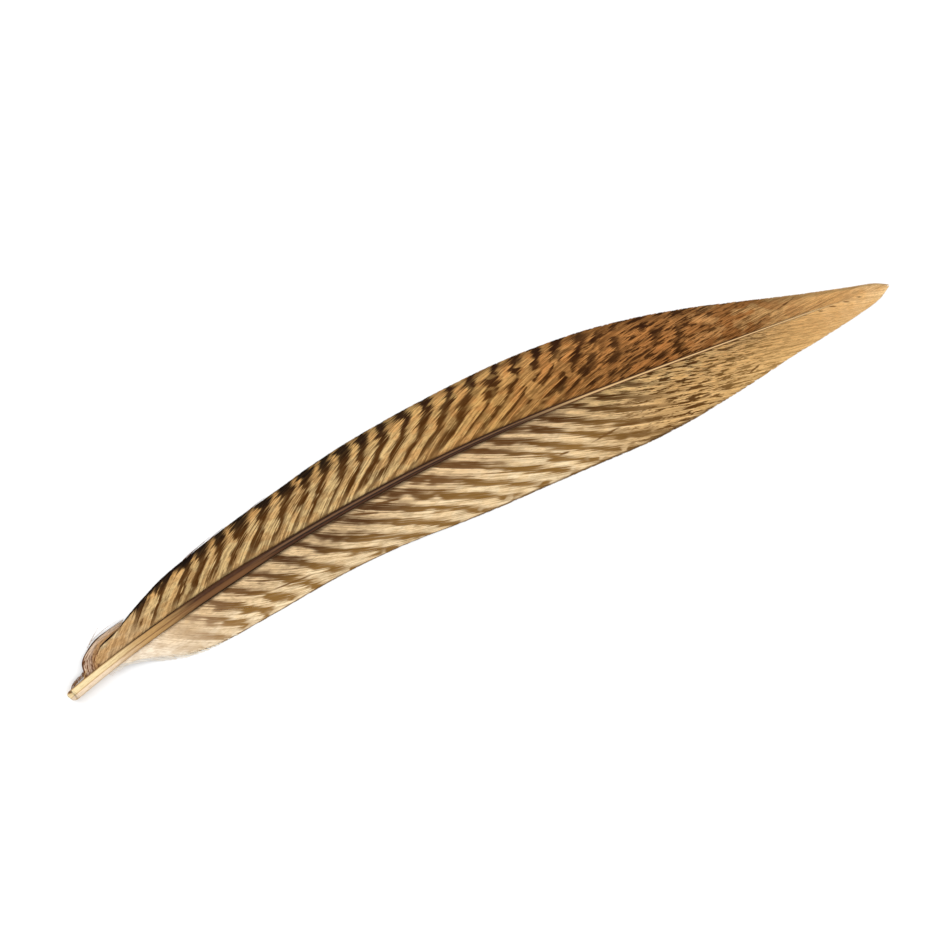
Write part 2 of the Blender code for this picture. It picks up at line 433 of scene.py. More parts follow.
# Single dark marks past the last bars, the last two being thin lines where the vane has split,
# painted as the shade in the gaps: (along, out, half length, half width, degrees).
OUTER_MARKS_AND_CRACK_SHADE = [
    (127.7, 11.8, 2.4, 1.1, 70), (132.3, 9.4, 1.7, 0.9, 40), (132.1, 5.3, 1.6, 1.1, 50),
    (134.2, 7.0, 2.0, 0.7, 35), (126.4, 3.9, 2.2, 0.9, 35), (136.9, 11.0, 1.9, 0.8, 60),
    (140.6, 8.3, 1.6, 1.1, 60), (139.3, 5.5, 2.2, 1.1, 25), (140.2, 2.4, 3.6, 0.4, 10),
    (133.6, 2.2, 2.4, 0.4, 15), (147.2, 9.6, 1.2, 0.8, 60), (149.1, 7.0, 1.5, 1.2, 60),
    (154.0, 5.9, 2.1, 1.0, 75), (152.9, 2.8, 1.9, 1.0, 80), (141.3, 12.0, 1.4, 0.6, 50),
    (144.5, 3.9, 3.2, 0.4, 12), (148.9, 2.2, 2.0, 0.6, 20), (172.5, 2.0, 3.0, 0.12, 20),
    (178.5, 3.6, 3.4, 0.12, 15),
]


def vane_sheet(barbs, edge, first, last):
    """A vane as a grid of (s, v, z): one row for each barb's root, one column along the barbs."""
    rows = int(round((last - first) / BARB_SPACING)) + 1
    root = np.linspace(first, last, rows)[:, None]
    t = np.linspace(0, 1, SHEET_POINTS)[None, :]
    close = np.clip((root - CLOSE_START) / CLOSE_LENGTH, 0, 1)
    start = BARB_START * through(SHAFT_WIDTHS, root) * (1 - close) - CLOSE_LAP * close
    tip = through(barbs, root)
    reach = np.maximum(through(edge, tip), start + SHORTEST_BARB)
    turn = start + BARB_TURN * (reach - start)
    turn_s = root + BARB_TURN * (tip - root) * (1 - through(BARB_BENDS, root))
    s = (1 - t) ** 2 * root + 2 * t * (1 - t) * turn_s + t**2 * tip
    v = (1 - t) ** 2 * start + 2 * t * (1 - t) * turn + t**2 * reach
    out = (v - start) / (reach - start)
    height = barb_line_height(s)
    drop = np.minimum(height - EDGE_REST, STEEPEST_DROOP * (reach - start))
    swell = VANE_SWELL * np.sin(math.pi * out) * np.sin(math.pi * np.clip(s / FEATHER_LENGTH, 0, 1))
    lock = np.abs(np.sin(math.pi * LOCKS_PER_MM * root + 0.8 * np.sin(0.21 * root)))
    ridge = LOCK_RIDGE * lock * np.sin(math.pi * out) * np.clip(reach / LOCK_FULL_REACH, 0, 1)
    z = height - drop * out**DROOP_POWER + swell + ridge
    return root, s, v, z, out


def bar_count(q, bars):
    """Which bar a station along the bars' own line belongs to, with whole numbers at their centres."""
    stations = np.array(bars, float)
    number = np.arange(len(bars), dtype=float)
    before = (q - stations[0]) / (stations[1] - stations[0])
    after = number[-1] + (q - stations[-1]) / (stations[-1] - stations[-2])
    inside = np.interp(q, stations, number)
    return np.where(q < stations[0], before, np.where(q > stations[-1], after, inside))


def part_barbs(root, out, splits):
    """How far barbs are pushed along the shaft where the vane has split, in mm."""
    shift = np.zeros(np.broadcast(root, out).shape)
    for split, opens_at, gap, reach in splits:
        apart = root - split
        push = np.sign(apart + 1e-9) * 0.5 * gap * np.exp(-np.abs(apart) / reach)
        shift = shift + push * np.clip((out - opens_at) / (1 - opens_at), 0, 1) ** 1.3
    return shift


def sheet_object(name, side, root, s, v, z, count, shift):
    """The guide sheet as a mesh with a map of its rows and columns, for the barbs to be laid on."""
    rows, columns = s.shape
    points = on_feather(s, side * v, z).reshape(-1, 3)
    faces = [
        (r * columns + c, (r + 1) * columns + c, (r + 1) * columns + c + 1, r * columns + c + 1)
        for r in range(rows - 1)
        for c in range(columns - 1)
    ]
    if side < 0:
        faces = [face[::-1] for face in faces]
    mesh = plain_mesh(name, points, [], faces)
    across, along = np.meshgrid(np.linspace(0, 1, rows), np.linspace(0, 1, columns), indexing="ij")
    write_map(mesh, "sheet", np.stack([across.ravel(), along.ravel()], 1))
    attribute(mesh, "vane_place", np.stack([s, v, count], -1).reshape(-1, 3), "FLOAT_VECTOR")
    ahead = on_feather(s + 0.5, side * v, z) - on_feather(s - 0.5, side * v, z)
    attribute(mesh, "split_push", (ahead * shift[..., None]).reshape(-1, 3), "FLOAT_VECTOR")
    attribute(mesh, "barb_root", np.broadcast_to(root, s.shape).ravel())
    return in_scene(name, mesh)


def straight_barb(section):
    """One barb in its own form: x along it from 0 to 1, y across it and z up, to be bent later."""
    count = len(section)
    points = [
        (along, across, up * (1 - BARB_THINNING * along**2))
        for along in (k / BARB_SEGMENTS for k in range(BARB_SEGMENTS + 1))
        for across, up in section
    ]
    faces = tube_faces(BARB_SEGMENTS + 1, count)
    faces.append(tuple(range(count)))
    faces.append(tuple(BARB_SEGMENTS * count + i for i in range(count))[::-1])
    return smooth_piece("straight barb", plain_mesh("straight barb", points, [], faces))


def sockets_for(tree, inputs):
    """Gives a node tree its named inputs and a Geometry output."""
    for name, kind, value in inputs:
        socket = tree.interface.new_socket(name, in_out="INPUT", socket_type=kind)
        if value is not None:
            socket.default_value = value
    tree.interface.new_socket("Geometry", in_out="OUTPUT", socket_type="NodeSocketGeometry")


def named(tree, name, kind="FLOAT_VECTOR"):
    """A named attribute of the geometry that is being worked on."""
    return add(tree, "GeometryNodeInputNamedAttribute", {"Name": name}, data_type=kind)["Attribute"]


def store(tree, geometry, name, value, kind="FLOAT_VECTOR", domain="POINT"):
    """Stores a value on the geometry under a name."""
    given = {"Geometry": geometry, "Name": name, "Value": value}
    return add(tree, "GeometryNodeStoreNamedAttribute", given, data_type=kind, domain=domain)["Geometry"]


def vector_calc(tree, operation, a, b):
    """A vector math node. For SCALE, b is the number."""
    second = "Scale" if operation == "SCALE" else 1
    return add(tree, "ShaderNodeVectorMath", {0: a, second: b}, operation=operation)[0]


def close_tree(tree, geometry, finish):
    """Ends a geometry tree: one real mesh with its material."""
    whole = add(tree, "GeometryNodeRealizeInstances", {"Geometry": geometry})["Geometry"]
    finished = add(tree, "GeometryNodeSetMaterial", {"Geometry": whole, "Material": finish})["Geometry"]
    add(tree, "NodeGroupOutput", {"Geometry": finished})
    return tree


def barb_tree():
    """Lays straight barbs side by side along a guide sheet and bends each on to it."""
    tree = bpy.data.node_groups.new("lay barbs on a sheet", "GeometryNodeTree")
    sockets_for(tree, [
        ("Sheet", "NodeSocketGeometry", None),
        ("Barb", "NodeSocketObject", None),
        ("Barbs", "NodeSocketInt", 100),
        ("Length in mm", "NodeSocketFloat", FEATHER_LENGTH),
        ("Width in mm", "NodeSocketFloat", 16.0),
        ("Ragged ends", "NodeSocketFloat", 0.03),
        ("Loose barbs in mm", "NodeSocketFloat", 0.02),
        ("Uneven spacing", "NodeSocketFloat", 0.2),
        ("Seed", "NodeSocketInt", 1),
        ("Finish", "NodeSocketMaterial", None),
    ])
    given = add(tree, "NodeGroupInput")
    line = {"Count": given["Barbs"], "Offset": (0, 0, 0)}
    rows = add(tree, "GeometryNodeMeshLine", line, mode="OFFSET")["Mesh"]
    barb = add(tree, "GeometryNodeObjectInfo", {"Object": given["Barb"]})["Geometry"]
    placed = add(tree, "GeometryNodeInstanceOnPoints", {"Points": rows, "Instance": barb})["Instances"]
    index = add(tree, "GeometryNodeInputIndex")["Index"]
    ordered = store(tree, placed, "order", index, "INT", "INSTANCE")
    barbs = add(tree, "GeometryNodeRealizeInstances", {"Geometry": ordered})["Geometry"]
    order = named(tree, "order", "INT")

    def chance(salt, low=0.0, high=1.0):
        """A number of each barb's own."""
        node = tree.nodes.new("FunctionNodeRandomValue")
        sockets = {socket.identifier: socket for socket in node.inputs}
        seed = plus(tree, given["Seed"], float(salt))
        for name, value in (("Min_001", low), ("Max_001", high), ("ID", order), ("Seed", seed)):
            put(tree, sockets[name], value)
        return next(o for o in node.outputs if o.identifier == "Value_001")

    def inside(value, rim):
        """Keeps a share this far inside the sheet's rim."""
        return calc(tree, "MINIMUM", calc(tree, "MAXIMUM", value, rim), 1 - rim)

    position = add(tree, "GeometryNodeInputPosition")["Position"]
    along, across, up = parts_of(tree, position)
    uneven = times(tree, chance(1, -0.5, 0.5), given["Uneven spacing"])
    middle = plus(tree, order, plus(tree, uneven, 0.02))
    share = calc(tree, "DIVIDE", plus(tree, middle, across), plus(tree, given["Barbs"], 0.5))
    share = inside(share, SIDE_RIM)
    own = inside(calc(tree, "DIVIDE", middle, given["Barbs"]), SIDE_RIM)
    short = times(tree, calc(tree, "POWER", chance(2), 3.0), given["Ragged ends"])
    run = inside(times(tree, along, calc(tree, "SUBTRACT", 1 - END_RIM, short)), END_RIM)

    def on_sheet(value, share_across):
        """A value of the guide sheet under each vertex of the barbs."""
        place = joined(tree, share_across, run)
        sampled = {0: given["Sheet"], 1: value, 2: named(tree, "sheet"), 3: place}
        return add(tree, "GeometryNodeSampleUVSurface", sampled, data_type="FLOAT_VECTOR")[0]

    surface = on_sheet(position, share)
    normal = on_sheet(add(tree, "GeometryNodeInputNormal")["Normal"], share)
    push = on_sheet(named(tree, "split_push"), own)
    loose = times(tree, chance(3, -1.0, 1.0), given["Loose barbs in mm"])
    loose = times(tree, loose, times(tree, along, along))
    lift = times(tree, plus(tree, up, loose), MM)
    raised = vector_calc(tree, "ADD", surface, vector_calc(tree, "SCALE", normal, lift))
    target = vector_calc(tree, "ADD", raised, push)

    place = on_sheet(named(tree, "vane_place"), share)
    root = parts_of(tree, on_sheet(named(tree, "barb_root", "FLOAT"), own))[0]
    barbs = store(tree, barbs, "vane_place", place)
    barbs = store(tree, barbs, "barb_place", joined(tree, root, run, chance(4)))
    barbs = store(tree, barbs, "ridge", fade(tree, up, -0.03, 0.05), "FLOAT")
    bent = add(tree, "GeometryNodeSetPosition", {"Geometry": barbs, "Position": target})["Geometry"]
    place_s, place_v, _ = parts_of(tree, named(tree, "vane_place"))
    map_place = joined(
        tree, calc(tree, "DIVIDE", place_s, given["Length in mm"], clamp=True),
        calc(tree, "DIVIDE", place_v, given["Width in mm"], clamp=True),
    )
    mapped = store(tree, bent, "OFBake", map_place, "FLOAT2", "CORNER")
    return close_tree(tree, mapped, given["Finish"])


def set_inputs(modifier, values):
    """Sets a Geometry Nodes modifier's named inputs by their identifiers."""
    sockets = {
        item.name: item.identifier
        for item in modifier.node_group.interface.items_tree
        if item.in_out == "INPUT"
    }
    for name, value in values.items():
        modifier[sockets[name]] = value


def grown(name, sheet, barb, tree, finish, settings):
    """The finished piece: the barbs or threads grown on a guide, as one plain mesh."""
    modifier = sheet.modifiers.new("barbs", "NODES")
    modifier.node_group = tree
    set_inputs(modifier, {"Finish": finish, **({"Barb": barb} if barb else {}), **settings})
    depsgraph = bpy.context.evaluated_depsgraph_get()
    mesh = bpy.data.meshes.new_from_object(
        sheet.evaluated_get(depsgraph), preserve_all_data_layers=True, depsgraph=depsgraph
    )
    sheet.modifiers.remove(modifier)
    bpy.data.objects.remove(sheet)
    mesh.name = name
    if "order" in mesh.attributes:
        mesh.attributes.remove(mesh.attributes["order"])
    return smooth_piece(name, mesh)


def group(name, inputs, outputs, fill):
    """A shader node group whose nodes are made by fill(tree, inputs), which returns its outputs."""
    tree = bpy.data.node_groups.new(name, "ShaderNodeTree")
    for title, kind in inputs:
        tree.interface.new_socket(title, in_out="INPUT", socket_type=kind)
    for title, kind in outputs:
        tree.interface.new_socket(title, in_out="OUTPUT", socket_type=kind)
    given = add(tree, "NodeGroupInput")
    result = tree.nodes.new("NodeGroupOutput")
    for (title, _), socket in zip(outputs, fill(tree, given)):
        tree.links.new(socket, result.inputs[title])
    return tree


def use(tree, made_group, **given):
    """Places a shader node group and returns its outputs."""
    inputs = {title.replace("_", " ").capitalize(): value for title, value in given.items()}
    return add(tree, "ShaderNodeGroup", inputs, node_tree=made_group)


FLATTER_FROM = 70.0


def fill_streaks(tree, given):
    """Streaks that run along the barbs: one barb wide, and a lock wide."""
    root, run, own = parts_of(tree, given["Barb"])
    # Past this station the barbs lie flatter, so that one streak takes in more of them.
    early = times(tree, calc(tree, "MINIMUM", root, FLATTER_FROM), 1.25)
    late = times(tree, calc(tree, "MAXIMUM", calc(tree, "SUBTRACT", root, FLATTER_FROM), 0.0), 0.7)
    fine = noise(tree, plus(tree, early, late), run, (1.0, 7.0), 2.0, 0.6)
    broad = noise(tree, root, run, (0.45, 1.8), 1.0)
    mixed = plus(tree, times(tree, fine, 0.7), times(tree, own, 0.3))
    return mixed, broad


def fill_bars(tree, given):
    """Bars with frayed edges: 1 in the middle of a bar and 0 between bars."""
    moved = plus(tree, given["Count"], plus(tree, given["Shift"], 0.5))
    nearest = calc(tree, "ABSOLUTE", calc(tree, "SUBTRACT", calc(tree, "FRACT", moved), 0.5))
    half = times(tree, given["Width"], 0.5)
    outside = plus(tree, half, given["Softness"])
    inside = calc(tree, "SUBTRACT", half, given["Softness"])
    return (fade(tree, nearest, outside, inside),)


def fill_flecks(tree, given):
    """Short dashes along the barbs, sharp edged: 1 inside a dash."""
    root, run, _ = parts_of(tree, given["Barb"])
    cloud = noise(tree, root, run, (given["Across"], given["Along"]), 3.0, 0.62)
    return (fade(tree, cloud, given["Amount"], plus(tree, given["Amount"], 0.09)),)


def fill_mark(tree, given):
    """One oval mark on the vane: 1 in its middle and 0 outside it."""
    offset = vector_calc(tree, "SUBTRACT", given["Place"], given["Centre"])
    turn = {"Vector": offset, "Angle": given["Angle"]}
    turned = add(tree, "ShaderNodeVectorRotate", turn, rotation_type="Z_AXIS")["Vector"]
    shrunk = vector_calc(tree, "DIVIDE", turned, given["Half size"])
    away = add(tree, "ShaderNodeVectorMath", {0: shrunk}, operation="LENGTH")["Value"]
    return (fade(tree, away, 1.3, 0.55),)


def fill_groove_shade(tree, given):
    """How much painted shade a barb gets at its sides, where it tucks under the next one."""
    return (times(tree, fade(tree, given["Ridge"], 0.75, 0.0), given["Depth"]),)


FLOAT, VECTOR = "NodeSocketFloat", "NodeSocketVector"
streaks = group(
    "streaks along the barbs",
    [("Barb", VECTOR)],
    [("Fine", FLOAT), ("Broad", FLOAT)],
    fill_streaks,
)
bars = group(
    "frayed bars",
    [("Count", FLOAT), ("Shift", FLOAT), ("Width", FLOAT), ("Softness", FLOAT)],
    [("Bar", FLOAT)],
    fill_bars,
)
flecks = group(
    "flecks along the barbs",
    [("Barb", VECTOR), ("Across", FLOAT), ("Along", FLOAT), ("Amount", FLOAT)],
    [("Fleck", FLOAT)],
    fill_flecks,
)
single_mark = group(
    "single mark",
    [("Place", VECTOR), ("Centre", VECTOR), ("Half size", VECTOR), ("Angle", FLOAT)],
    [("Mark", FLOAT)],
    fill_mark,
)
groove = group("groove between barbs", [("Ridge", FLOAT), ("Depth", FLOAT)], [("Dim", FLOAT)], fill_groove_shade)


def ramp_value(tree, share, stops):
    """A number that changes along the feather, centred on 0: grey 0.5 in the ramp stands for 0."""
    greys = [(at, (0.5 + value, 0.5 + value, 0.5 + value, 1.0)) for at, value in stops]
    return calc(tree, "SUBTRACT", ramp(tree, share, greys), 0.5)


def deepen(tree, value):
    """Brings a half dark share near to full, as the eye reads it."""
    light = calc(tree, "SUBTRACT", 1.0, value, clamp=True)
    return calc(tree, "SUBTRACT", 1.0, times(tree, light, light))


def vane_finish(name, near, far, ink_near, ink_far, look):
    """Barred keratin: ground and ink colours along the feather, near the shaft and at the edge."""
    material, tree, shader = new_material(name, 0.65, 0.05)
    s, v, count = parts_of(tree, read(tree, "vane_place")[0])
    barb = read(tree, "barb_place")[0]
    _, run, own = parts_of(tree, barb)
    share = calc(tree, "DIVIDE", s, FEATHER_LENGTH)
    streak = use(tree, streaks, barb=barb)
    outwards = fade(tree, run, *look["outwards"])
    blotch = noise(tree, s, v, (0.27, 0.5), 1.0)
    ground = blend(tree, outwards, ramp(tree, share, near), ramp(tree, share, far))
    blotched = times(tree, fade(tree, blotch, 0.42, 0.6), look["blotches"])
    ground = blend(tree, blotched, ground, ramp(tree, share, look["blotch_tones"]))
    ink = blend(tree, outwards, ramp(tree, share, ink_near), ramp(tree, share, ink_far))
    patch = noise(tree, s, v, (0.16, 0.4), 1.0)
    shift = plus(
        tree, jitter(tree, streak["Broad"], look["wander"]), jitter(tree, own, look["step"]),
        jitter(tree, streak["Fine"], look["fray"]), jitter(tree, patch, look["sway"]),
    )
    width = plus(
        tree, fade(tree, run, 0.1, 0.95, *look["width"]), jitter(tree, patch, 0.35),
        times(tree, outwards, ramp_value(tree, share, look["wider"])),
    )
    bar = use(tree, bars, count=count, shift=shift, width=width, softness=look["softness"])["Bar"]
    broken = fade(tree, blotch, 0.38, 0.52)
    where = times(tree, fade(tree, s, *look["broken_from"]), fade(tree, run, *look["broken_out"]))
    kept = calc(tree, "SUBTRACT", 1.0, times(tree, where, calc(tree, "SUBTRACT", 1.0, broken)))
    bar = times(
        tree, bar, kept, fade(tree, run, *look["from_shaft"], 0.35, 1.0), fade(tree, s, *look["first"]),
        fade(tree, s, *look["last"]), fade(tree, streak["Fine"], 0.35, 0.65, 1.0, 0.7),
    )
    # Fine flecks take over from the bars towards the tip.
    fleck = use(tree, flecks, barb=barb, across=0.5, along=look["fleck_along"], amount=look["fleck_amount"])
    flecked = times(
        tree, fleck["Fleck"], fade(tree, s, *look["flecks_from"]),
        fade(tree, s, 190, 150, 0.05, look["fleck_ink"]),
    )
    speck = use(tree, flecks, barb=barb, across=3.1, along=16.0, amount=0.52)["Fleck"]
    rim = times(
        tree, fade(tree, run, *look["rim_at"]), fade(tree, s, *look["rim"]),
        fade(tree, blotch, 0.3, 0.5, 0.6, 1.0),
    )
    colour = blend(tree, deepen(tree, calc(tree, "MAXIMUM", bar, flecked, clamp=True)), ground, ink)
    colour = blend(tree, deepen(tree, rim), colour, look["rim_ink"])
    place = joined(tree, plus(tree, s, jitter(tree, streak["Fine"], look["mark_fray"])), v)
    # The vane's own dark marks, and thin dark lines where it has split, which are painted shade.
    mark = 0.0
    for centre_s, centre_v, long, wide, degrees in look["marks"]:
        one = use(
            tree, single_mark, place=place, centre=(centre_s, centre_v, 0),
            half_size=(long, wide, 1), angle=-math.radians(degrees),
        )["Mark"]
        mark = calc(tree, "MAXIMUM", mark, one)
    colour = blend(tree, times(tree, mark, look["mark_depth"]), colour, look["mark_ink"])
    colour = blend(tree, times(tree, speck, 0.3), colour, ink)
    # Each barb is a little lighter or darker, and the grooves between barbs, where each tucks under
    # the next, get painted shade.
    streaky = times(
        tree, fade(tree, streak["Fine"], 0.4, 0.64), fade(tree, s, 26, 60, 0.6, 1.0), look["streaks"]
    )
    colour = blend(tree, plus(tree, streaky, times(tree, own, 0.1)), colour, ink)
    groove_shade = use(tree, groove, ridge=read(tree, "ridge")[1], depth=look["groove"])["Dim"]
    colour = blend(tree, groove_shade, colour, ink)
    # The barbs are darker where they leave the shaft: partly their own darker bases, partly painted
    # shadow of the raised shaft.
    foot = times(tree, fade(tree, run, look["foot"], 0.0), fade(tree, s, 22, 45), fade(tree, s, 150, 105))
    colour = blend(tree, times(tree, foot, 0.6), colour, srgb(74, 48, 32))
    put(tree, shader.inputs["Base Color"], colour)
    put(tree, shader.inputs["Roughness"], fade(tree, streak["Fine"], 0.3, 0.7, 0.5, 0.7))
    bump(tree, shader, noise(tree, s, v, (9.0, 9.0)), 0.03)
    return material


BUFF, GOLD, OCHRE, RUST = srgb(217, 187, 132), srgb(212, 161, 96), srgb(206, 163, 98), srgb(194, 137, 76)
EDGE_BUFF, TIP_BUFF, TIP_PALE = srgb(218, 176, 110), srgb(238, 197, 133), srgb(250, 219, 165)
FOOT_TAN, FOOT_BUFF, TIP_SHADE = srgb(208, 174, 128), srgb(218, 190, 144), srgb(168, 124, 74)
RUST_DARK = srgb(176, 120, 66)
BLACK_INK, DARK_INK, BROWN_INK = srgb(20, 8, 2), srgb(48, 23, 5), srgb(80, 46, 10)
OUTER_LOOK = {
    "outwards": (0.4, 0.85), "wander": 0.45, "step": 0.12, "fray": 0.45, "sway": 0.45,
    "width": (0.34, 0.5), "wider": [(0.12, 0.3), (0.22, 0.16), (0.36, 0.16), (0.44, 0.0), (0.5, -0.08)],
    "softness": 0.13, "broken_from": (96, 128), "broken_out": (0.92, 0.75), "from_shaft": (0.0, 0.2),
    "first": (18, 23), "last": (144, 128), "fleck_along": 9.0, "fleck_amount": 0.52, "streaks": 0.46,
    "flecks_from": (118, 144), "fleck_ink": 0.7, "rim": (45, 38, 0.25, 1.0), "rim_at": (0.8, 0.93),
    "rim_ink": BLACK_INK, "groove": 0.2, "foot": 0.02, "marks": OUTER_MARKS_AND_CRACK_SHADE, "mark_ink": DARK_INK,
    "mark_fray": 4.0, "mark_depth": 0.82, "blotches": 0.6,
    "blotch_tones": [(0.0, srgb(190, 146, 92)), (0.4, srgb(206, 160, 100)), (0.6, srgb(196, 132, 70)),
                     (0.75, srgb(206, 140, 76)), (0.86, TIP_BUFF)],
}
# Where the barbs have parted: (along, open from this share outwards, gap in mm, how far it is felt).
OUTER_SPLITS = [
    (33.0, 0.7, 0.5, 2.0), (48.5, 0.8, 0.35, 1.2), (70.5, 0.85, 0.3, 1.5), (160.0, 0.35, 0.3, 2.5),
]
root, s, v, z, out = vane_sheet(OUTER_BARBS, OUTER_EDGE, 4.0, 200.2)
lean, power = (through([(leans[0], leans[k]) for leans in OUTER_LEANS], s) for k in (1, 2))
lean_back = lean * (1 - np.clip(v / through(OUTER_EDGE, s), 0, 1)) ** power
outer_sheet = sheet_object(
    "outer sheet", 1, root, s, v, z,
    bar_count(s + lean_back, OUTER_BARS), part_barbs(root, out, OUTER_SPLITS),
)
barb = straight_barb(BARB_SECTION)
lay_barbs = barb_tree()
outer_paint = vane_finish(
    "golden barred vane",
    [(0.08, FOOT_TAN), (0.14, BUFF), (0.4, BUFF), (0.54, OCHRE), (0.66, RUST),
     (0.73, RUST_DARK), (0.84, RUST_DARK), (0.94, TIP_BUFF), (0.98, TIP_PALE)],
    [(0.08, FOOT_BUFF), (0.12, GOLD), (0.32, GOLD), (0.42, EDGE_BUFF), (0.52, EDGE_BUFF),
     (0.66, RUST), (0.73, RUST_DARK), (0.85, RUST_DARK), (0.94, TIP_BUFF), (0.98, TIP_PALE)],
    [(0.55, BROWN_INK), (0.7, DARK_INK), (0.84, BROWN_INK), (0.94, TIP_SHADE)],
    [(0.36, BLACK_INK), (0.5, DARK_INK), (0.8, DARK_INK), (0.86, BROWN_INK),
     (0.94, TIP_SHADE)],
    OUTER_LOOK,
)
outer_vane = grown("outer_vane", outer_sheet, barb, lay_barbs, outer_paint, {
    "Barbs": s.shape[0] - 1, "Width in mm": 15.0, "Ragged ends": 0.012,
    "Loose barbs in mm": 0.03, "Uneven spacing": 0.3, "Seed": 11,
})
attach(outer_vane, "root")
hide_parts("feather")

# The inner vane
# The broader cream vane on the feather's right. Its barbs are longer and lie flatter to the
# shaft, and its olive brown bars run out along them and break up towards the edge.
INNER_EDGE = [
    (11, 1.5), (16, 2.8), (20, 5.1), (24, 7.55), (29, 9.45), (36, 10.85), (50, 11.75), (64, 12.1),
    (79, 13.0), (97, 14.8), (108, 15.25), (123, 15.15), (138, 14.75), (149, 13.6), (158, 11.95),
    (167, 10.05), (175, 8.05), (184, 6.15), (193, 3.95), (198, 2.35), (201.3, 0.1),
]
INNER_BARBS = [
    (10.2, 11), (14, 17), (18.5, 26), (26, 42), (40, 68), (80, 119), (115, 159), (145, 181),
    (172, 193), (192, 199.3), (200.4, 201.3),
]
INNER_BARS = [
    28.5, 34.0, 39.5, 45.6, 52.0, 57.8, 62.8, 68.3, 74.0, 79.8, 86.6, 93.6, 100.2, 105.6, 112.0,
    118.2, 124.4, 130.2, 137.4, 144.8, 151.4, 157.6,
]
INNER_LEANS = [(0, 42), (62, 41), (78, 33), (100, 29), (130, 27), (150, 20), (201, 14)]
INNER_SPLITS = [
    (52.0, 0.5, 0.35, 1.6), (66.0, 0.25, 0.4, 2.2), (88.0, 0.6, 0.35, 2.0), (103.5, 0.5, 0.55, 3.0),
    (129.0, 0.55, 0.5, 2.0), (143.0, 0.5, 0.35, 2.0),
]
# Dark cracks between barbs, painted as the shade in the narrow splits, and other single marks.
INNER_MARKS_AND_CRACK_SHADE = [
    (44.9, 4.8, 4.8, 0.25, 27), (54.2, 7.9, 5.0, 0.22, 10), (75.6, 8.1, 2.0, 0.25, 30),
    (75.5, 2.9, 3.6, 0.3, 25), (81.4, 3.0, 3.2, 0.28, 15), (118.3, 2.5, 2.8, 0.22, 28),
    (131.6, 9.6, 3.4, 0.25, -8), (137.0, 9.3, 2.6, 0.2, 9), (121.3, 10.0, 1.3, 0.25, 3),
    (155.0, 9.4, 1.3, 0.28, 0), (167.2, 7.5, 1.6, 0.22, -20), (185.0, 0.5, 0.7, 0.14, 20),
    (188.0, 0.45, 0.8, 0.14, 20), (191.0, 0.4, 0.8, 0.13, 18), (194.0, 0.35, 0.7, 0.12, 16),
]
DOWN_WHITE, DOWN_CREAM = srgb(240, 228, 208), srgb(228, 208, 178)
CREAM, TAN, TAN_DIM = srgb(246, 224, 184), srgb(224, 194, 150), srgb(214, 184, 140)
DOWN_SHADE, PALE_OCHRE, PALE_SAND = srgb(176, 146, 112), srgb(230, 190, 130), srgb(248, 214, 152)
PLUM_INK, PLUM_DARK, OLIVE_INK = srgb(110, 76, 42), srgb(80, 50, 24), srgb(134, 98, 48)
INNER_LOOK = {
    "outwards": (0.12, 0.55), "wander": 0.5, "step": 0.14, "fray": 0.28, "sway": 0.45,
    "width": (0.42, 0.38), "wider": [(0.0, 0.0), (1.0, 0.0)],
    "softness": 0.14, "broken_from": (20, 30), "broken_out": (0.7, 0.98), "from_shaft": (0.0, 0.02),
    "first": (22, 38), "last": (152, 134), "fleck_along": 10.0, "fleck_amount": 0.5, "streaks": 0.34,
    "flecks_from": (126, 146), "fleck_ink": 0.8, "rim": (165, 140, 0.0, 0.8), "rim_at": (0.94, 0.99),
    "rim_ink": srgb(92, 70, 46), "groove": 0.3, "foot": 0.05, "marks": INNER_MARKS_AND_CRACK_SHADE, "mark_ink": PLUM_INK,
    "mark_fray": 0.8, "mark_depth": 0.95, "blotches": 0.6,
    "blotch_tones": [(0.0, srgb(214, 198, 180)), (0.13, srgb(214, 192, 160)), (0.2, srgb(232, 204, 160)),
                     (0.6, srgb(236, 206, 158)), (0.75, srgb(220, 176, 112)), (0.9, TIP_BUFF)],
}
root, s, v, z, out = vane_sheet(INNER_BARBS, INNER_EDGE, 12.6, 200.2)
lean = np.radians(through(INNER_LEANS, s))
inner_sheet = sheet_object(
    "inner sheet", -1, root, s, v, z,
    bar_count(s - v / np.tan(lean), INNER_BARS), part_barbs(root, out, INNER_SPLITS),
)
inner_paint = vane_finish(
    "cream barred vane",
    [(0.09, DOWN_WHITE), (0.14, TAN), (0.23, TAN), (0.27, TAN_DIM), (0.36, TAN_DIM),
     (0.42, TAN), (0.6, TAN), (0.67, PALE_SAND), (0.75, PALE_SAND), (0.82, PALE_OCHRE), (0.9, TIP_BUFF),
     (1.0, TIP_PALE)],
    [(0.09, DOWN_WHITE), (0.15, DOWN_CREAM), (0.24, CREAM), (0.6, CREAM),
     (0.72, PALE_OCHRE), (0.9, TIP_BUFF), (1.0, TIP_PALE)],
    [(0.1, DOWN_SHADE), (0.2, PLUM_INK), (0.27, PLUM_DARK), (0.38, PLUM_DARK),
     (0.46, PLUM_INK), (0.62, BROWN_INK), (0.84, BROWN_INK), (0.94, TIP_SHADE)],
    [(0.1, DOWN_SHADE), (0.2, OLIVE_INK), (0.62, OLIVE_INK), (0.75, BROWN_INK),
     (0.86, OLIVE_INK), (0.95, TIP_SHADE)],
    INNER_LOOK,
)
inner_vane = grown("inner_vane", inner_sheet, barb, lay_barbs, inner_paint, {
    "Barbs": s.shape[0] - 1, "Width in mm": 16.0, "Ragged ends": 0.016,
    "Loose barbs in mm": 0.04, "Uneven spacing": 0.35, "Seed": 23,
})
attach(inner_vane, "root")
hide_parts("feather")

